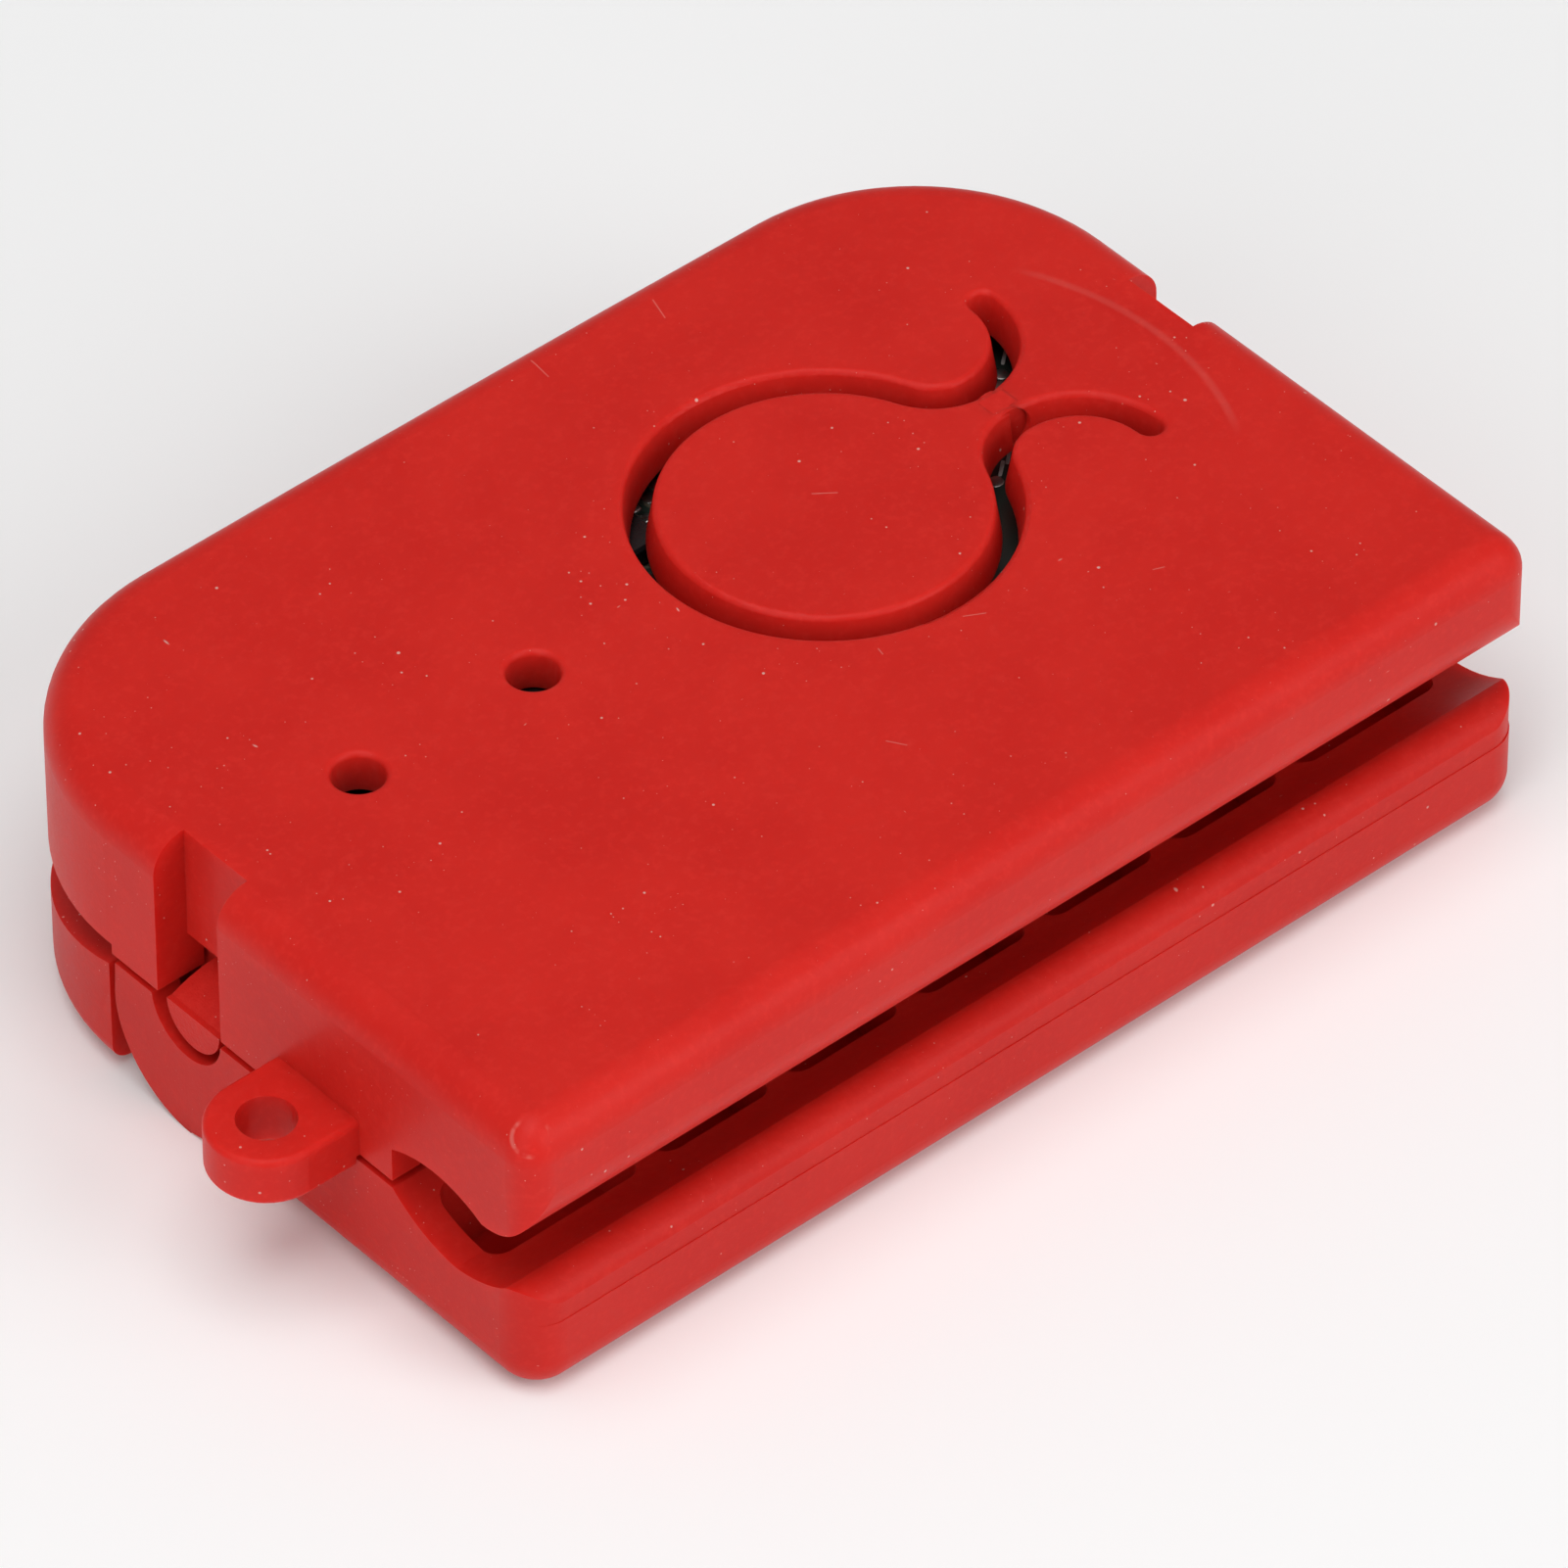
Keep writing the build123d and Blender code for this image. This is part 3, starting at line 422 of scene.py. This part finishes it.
def add_crystal_leads(finish):
    """Two wires that leave the can's end and bend down in a quarter turn."""
    low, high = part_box("crystal_can")
    end, y, z = high.x / MM, (low.y + high.y) / 2 / MM, (low.z + high.z) / 2 / MM
    bend = np.linspace(0, math.pi / 2, LEAD_STEPS)
    fall = z - BOARD_TOP + 0.05
    paths = [np.stack([end - 0.1 + np.sin(bend) * 1.3, np.full(LEAD_STEPS, y + side),
                       z - fall * (1 - np.cos(bend))], -1) for side in (-0.35, 0.35)]
    bars("crystal_leads", paths, (0, 1, 0), (0.26, 0.26), finish)
    return [path[-1] for path in paths]


def add_board_details(metal, print_white, black):
    """Everything small that is soldered to the board or printed on it."""
    feet = add_chip_legs(metal)
    caps = add_end_caps("capacitor_ends", "capacitors", metal)
    caps += add_end_caps("resistor_ends", "resistors", metal)
    wires = add_crystal_leads(metal)
    solder = [(x, y, BOARD_TOP) for x, y, _ in [*feet, *caps, *wires]]
    lozenges("solder_joints", solder, (0.62, 0.62, 0.22), metal, 0.8)

    pads = [(x, y, BOARD_TOP) for x, y in PADS]
    lozenges("test_pads", pads, (0.75, 0.75, 0.07), metal, 0.9)
    printed = [(x, y, BOARD_TOP) for x, y in PRINTED]
    lozenges("board_print", printed, (1.1, 0.18, 0.04), print_white, 0.3, SET_ASKEW)
    diode = (21.9, -1.2, BOARD_TOP + 0.45)
    lozenges("clamp_diode", [diode], (1.7, 1.1, 0.9), black, 0.2, SET_ASKEW)
    x, y = middle("beat_led")[:2]
    lozenges("led_chip", [(x, y, BOARD_TOP + 0.53)], (0.42, 0.42, 0.16), metal, 0.25)


def add_spring(node):
    """The spring's wire: a merged copy of the part, which it replaces and hides."""
    mesh = NODES[node].data.copy()
    merged = bmesh.new()
    merged.from_mesh(mesh)
    bmesh.ops.remove_doubles(merged, verts=merged.verts, dist=1e-7)
    merged.to_mesh(mesh)
    merged.free()
    wire = bpy.data.objects.new(node + "_wire", mesh)
    bpy.context.scene.collection.objects.link(wire)
    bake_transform(wire)
    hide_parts(node)


KNUCKLE_R = 1.075
NECK_STEPS = 41


def add_neck_web(finish, flat=0.5, turn_r=0.3, skin_t=0.03):
    """A thin skin over the button's root.

    Its outline across the neck is level, then follows a circle down at each side; the inner
    outline is one thickness lower, and the pair is carried along the neck.
    """
    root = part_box("push_button")[1].x / MM - KNUCKLE_R
    level_y, top = middle("push_button")[1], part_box("top_shell")[1].z / MM
    reach = flat + turn_r * 1.35
    walk = np.linspace(-reach, reach, NECK_STEPS)
    level = np.clip(walk, -flat, flat)
    lean = (walk - level) / turn_r
    normal = np.stack([np.sin(lean), np.cos(lean)], -1)
    outline = turn_r * normal + np.stack([level, np.full(NECK_STEPS, -turn_r)], -1)
    section = np.concatenate([outline - skin_t * normal, (outline + 0.001 * normal)[::-1]])
    rings = np.empty((1, 9, len(section), 3))
    rings[..., 0] = np.linspace(root - 0.7, root + 0.8, 9)[:, None]
    rings[..., 1:] = section + (level_y, top)
    closed_skins("neck_web", rings, finish)


# ---- camera, light and floor --------------------------------------------------------------------
AZIMUTH = math.radians(-41.36)
ELEVATION = math.radians(42.63)
DISTANCE = 0.6513
LENS = 330.3
AIM = Vector((3.640, -2.138, 6.091)) * MM
FLOOR_HALF = 1.5
FLOOR_Z = -0.00002
LIGHT_SIZE = 0.7


def add_camera():
    """A long lens that looks down on the housing's front left corner."""
    back = Vector((math.sin(AZIMUTH) * math.cos(ELEVATION),
                   -math.cos(AZIMUTH) * math.cos(ELEVATION), math.sin(ELEVATION)))
    data = bpy.data.cameras.new("camera")
    data.lens = LENS
    data.sensor_width = 36
    data.clip_start = 0.05
    data.clip_end = 10
    camera = bpy.data.objects.new("camera", data)
    camera.location = AIM + back * DISTANCE
    camera.rotation_euler = back.to_track_quat("Z", "Y").to_euler()
    bpy.context.scene.collection.objects.link(camera)
    bpy.context.scene.camera = camera


def add_light(name, place, power):
    """A soft round light that points at the origin."""
    data = bpy.data.lights.new(name, "AREA")
    data.shape = "DISK"
    data.size = LIGHT_SIZE
    data.energy = power
    light = bpy.data.objects.new(name, data)
    light.location = place
    light.rotation_euler = Vector(place).to_track_quat("Z", "Y").to_euler()
    bpy.context.scene.collection.objects.link(light)


def add_floor():
    """A white card just under the jaw."""
    mesh = bpy.data.meshes.new("floor")
    turn = ((-1, -1), (1, -1), (1, 1), (-1, 1))
    corners = [(x * FLOOR_HALF, y * FLOOR_HALF, FLOOR_Z) for x, y in turn]
    mesh.from_pydata(corners, [], [(0, 1, 2, 3)])
    floor = bpy.data.objects.new("floor", mesh)
    bpy.context.scene.collection.objects.link(floor)
    card = Finish("white_card", (0.93, 0.93, 0.93), 0.8)
    floor.data.materials.append(card.material)


def add_world():
    """Even white light from all round."""
    world = bpy.data.worlds.new("studio")
    world.use_nodes = True
    background = world.node_tree.nodes["Background"]
    background.inputs["Color"].default_value = (1, 1, 1, 1)
    background.inputs["Strength"].default_value = 0.265
    bpy.context.scene.world = world


def dress(finish, *names):
    """Give carried-over parts their finish."""
    for name in names:
        mesh = NODES[name].data
        mesh.materials.clear()
        mesh.materials.append(finish.material)


# ---- the metronome ------------------------------------------------------------------------------
shell_red = moulded_red("red_shell", decorate=lid_marks)
contact = drawn_metal("contact_metal", (0.70, 0.69, 0.66), 0.32, (6.0, 0.6, 6.0))
black = plain("black_plastic", (0.03, 0.03, 0.03), 0.5)
print_white = plain("board_print", (0.75, 0.75, 0.72), 0.6)

dress(shell_red, "top_shell")
dress(moulded_red("red_button", decorate=button_marks), "push_button")
# The jaw and tail are painted 8% darker than the shell: painted shade, as less light reaches them
dress(moulded_red("red_jaw_painted_shade", coarse=1.3, painted_shade=0.92), "lower_jaw", "tail_grip")
dress(moulded_red("red_inner", dusty=0.5), "inner_tray", "battery_door")
dress(moulded_red("red_stub", dusty=1.6, coarse=5.0, Subsurface_Weight=0.25),
      "trunnion_left", "trunnion_right")
dress(drawn_metal("spring_steel", (0.55, 0.56, 0.58), 0.34, (5.0, 1.0, 1.0)),
      "spring_left", "spring_right")
dress(circuit_board_finish(), "circuit_board")
dress(drawn_metal("cell_steel", (0.72, 0.72, 0.70), 0.30, (0.5, 5.0, 1.0)), "coin_cell")
dress(contact, "negative_contact", "positive_contact", "switch_cover", "crystal_can")
dress(black, "switch_base", "buzzer_case", "resistors")
dress(plain("chip_case", (0.012, 0.012, 0.013), 0.22, scale=3.0), "controller_chip")
dress(plain("switch_button", (0.06, 0.06, 0.06), 0.45), "switch_plunger")
dress(plain("led_lens", (0.85, 0.82, 0.78), 0.25, Transmission_Weight=0.6), "beat_led")
dress(drawn_metal("brass", (0.72, 0.50, 0.22), 0.32, (0.5, 4.0, 1.0)), "piezo_disc")
dress(plain("capacitor_body", (0.45, 0.32, 0.20), 0.5), "capacitors")
dress(drawn_metal("screw_steel", (0.60, 0.60, 0.58), 0.36, (3.0, 3.0, 0.8)),
      "tray_screws", "board_screws", "door_screw", "tail_screws")
add_board_details(contact, print_white, black)
add_spring("spring_left")
add_spring("spring_right")
add_neck_web(moulded_red("red_web", Subsurface_Weight=0.0))

add_camera()
add_floor()
add_light("overhead", (-0.15, -0.10, 0.80), 3.6)
add_light("front", (0.25, -0.75, 0.45), 3.2)
add_light("left", (-0.75, -0.25, 0.45), 2.15)
add_world()
bpy.context.scene.view_settings.view_transform = "Standard"
